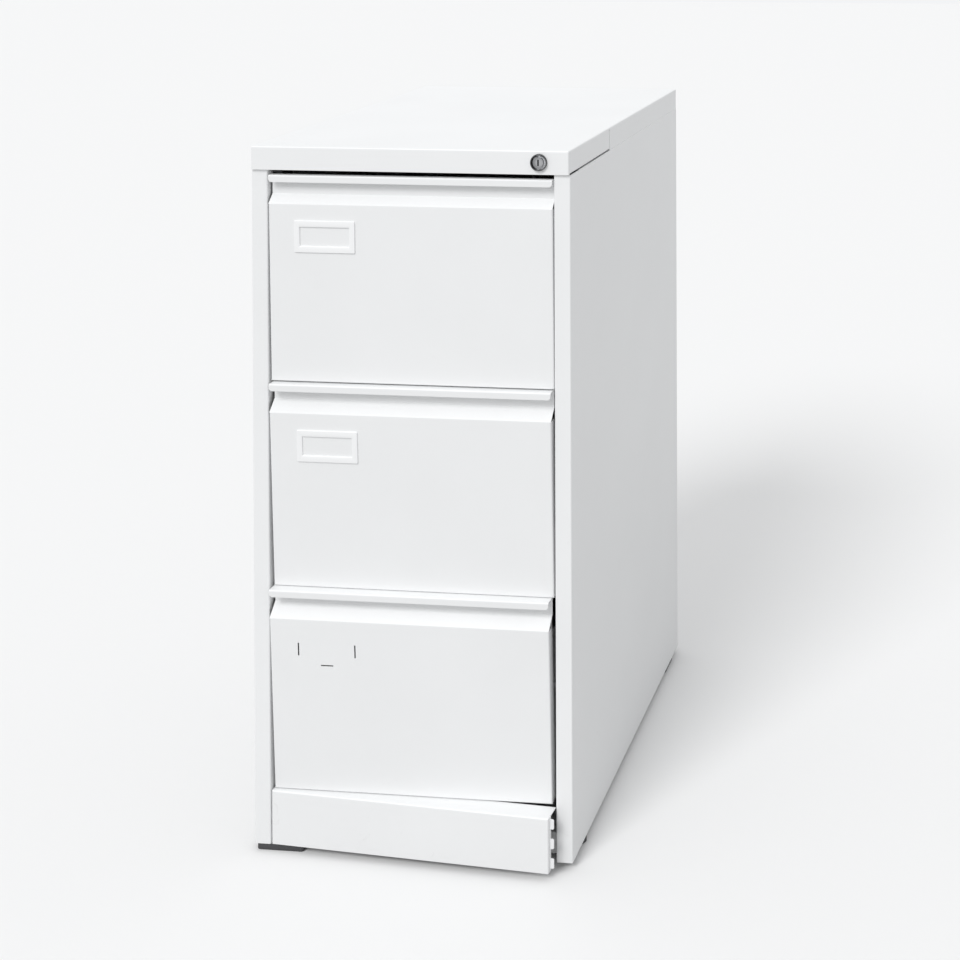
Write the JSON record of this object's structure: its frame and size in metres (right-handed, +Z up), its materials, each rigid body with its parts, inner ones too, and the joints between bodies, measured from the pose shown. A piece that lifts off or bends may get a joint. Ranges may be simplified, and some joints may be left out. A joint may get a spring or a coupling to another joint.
{
  "type": "filing cabinet",
  "caption": "Upright steel filing cabinet with pull-out drawers for hanging files, finger-recess fronts, label frames, a barrel lock in the top cover and a plinth ajar.",
  "frame": {"origin": "on the floor, in the middle of the cabinet's bounding box", "axes": "+Z up; the drawers open towards -Y; X runs left to right as seen from the front"},
  "size_m": [0.47, 0.645, 1.016],
  "materials": {
    "painted_carcass": "fine-textured satin powder coat",
    "painted_cover": "fine-textured satin powder coat",
    "painted_front": "fine-textured satin powder coat",
    "painted_drawer": "fine-textured satin powder coat",
    "painted_plinth": "fine-textured satin powder coat",
    "zinc_carcass": "dull galvanised",
    "zinc_slide": "bright zinc plate",
    "zinc_rail": "bright zinc plate",
    "zinc_lock_bar": "dull zinc plate",
    "zinc_fastener": "bright zinc plate",
    "chrome_lock": "polished",
    "chrome_plug": "lightly brushed face",
    "plastic_foot": "matt moulded",
    "plastic_label_holder": "satin moulded"
  },
  "bodies": {
    "carcass": {"left_side_panel": "painted_carcass", "right_side_panel": "painted_carcass", "back_panel": "painted_carcass", "base_pan": "painted_carcass", "top_cover": "painted_cover", "top_front_rail": "zinc_carcass", "front_left_upright": "zinc_carcass", "back_left_upright": "zinc_carcass", "front_right_upright": "zinc_carcass", "back_right_upright": "zinc_carcass", "foot_front_left": "plastic_foot", "foot_front_right": "plastic_foot", "foot_back_left": "plastic_foot", "foot_back_right": "plastic_foot", "foot_screws": "zinc_fastener", "slide_rivets": "zinc_fastener", "bar_guides": "zinc_fastener", "lock_barrel": "chrome_lock", "lock_nut": "zinc_fastener", "lower_outer_slides": "zinc_slide", "centre_outer_slides": "zinc_slide", "upper_outer_slides": "zinc_slide"},
    "lock_plug": {"lock_plug": "chrome_plug"},
    "lock_bar": {"lock_bar": "zinc_lock_bar", "lock_arm": "zinc_lock_bar", "lock_catches": "zinc_lock_bar"},
    "plinth": {"plinth_panel": "painted_plinth"},
    "lower_drawer": {"lower_drawer_front": "painted_front", "lower_drawer_liner": "painted_drawer", "lower_drawer_tray": "painted_drawer", "lower_drawer_back": "painted_drawer", "lower_hanging_rails": "zinc_rail", "lower_latch_hook": "zinc_fastener", "lower_inner_slides": "zinc_slide"},
    "lower_middle_slides": {"lower_middle_slides": "zinc_slide"},
    "centre_drawer": {"centre_drawer_front": "painted_front", "centre_drawer_liner": "painted_drawer", "centre_drawer_tray": "painted_drawer", "centre_drawer_back": "painted_drawer", "centre_hanging_rails": "zinc_rail", "centre_latch_hook": "zinc_fastener", "centre_inner_slides": "zinc_slide", "centre_label_holder": "plastic_label_holder"},
    "centre_middle_slides": {"centre_middle_slides": "zinc_slide"},
    "upper_drawer": {"upper_drawer_front": "painted_front", "upper_drawer_liner": "painted_drawer", "upper_drawer_tray": "painted_drawer", "upper_drawer_back": "painted_drawer", "upper_hanging_rails": "zinc_rail", "upper_latch_hook": "zinc_fastener", "upper_inner_slides": "zinc_slide", "upper_label_holder": "plastic_label_holder"},
    "upper_middle_slides": {"upper_middle_slides": "zinc_slide"}
  },
  "joints": [
    {"name": "lower_drawer_slide", "type": "slide", "parent": "carcass", "child": "lower_drawer", "axis": [0, -1, 0], "range_m": [0, 0.54]},
    {"name": "lower_middle_slide", "type": "slide", "parent": "carcass", "child": "lower_middle_slides", "axis": [0, -1, 0], "range_m": [0, 0.271]},
    {"name": "centre_drawer_slide", "type": "slide", "parent": "carcass", "child": "centre_drawer", "axis": [0, -1, 0], "range_m": [0, 0.54]},
    {"name": "centre_middle_slide", "type": "slide", "parent": "carcass", "child": "centre_middle_slides", "axis": [0, -1, 0], "range_m": [0, 0.271]},
    {"name": "upper_drawer_slide", "type": "slide", "parent": "carcass", "child": "upper_drawer", "axis": [0, -1, 0], "range_m": [0, 0.54]},
    {"name": "upper_middle_slide", "type": "slide", "parent": "carcass", "child": "upper_middle_slides", "axis": [0, -1, 0], "range_m": [0, 0.271]},
    {"name": "lock_turn", "type": "hinge", "parent": "carcass", "child": "lock_plug", "pos_m": [0.191, -0.29954, 1], "axis": [0, -1, 0], "range_deg": [0, 90]},
    {"name": "lock_bar_lift", "type": "slide", "parent": "carcass", "child": "lock_bar", "axis": [0, 0, 1], "range_m": [0, 0.0113]},
    {"name": "plinth_swing", "type": "hinge", "parent": "carcass", "child": "plinth", "pos_m": [-0.2095, -0.29554, 0.049], "axis": [0, 0, 1], "range_deg": [0, 2.8]}
  ],
  "couplings": [
    {"joint": "lower_middle_slide", "follows": "lower_drawer_slide", "ratio": 0.5},
    {"joint": "centre_middle_slide", "follows": "centre_drawer_slide", "ratio": 0.5},
    {"joint": "upper_middle_slide", "follows": "upper_drawer_slide", "ratio": 0.5},
    {"joint": "lock_turn", "follows": "lock_bar_lift", "rad_per_m": 138.84}
  ]
}
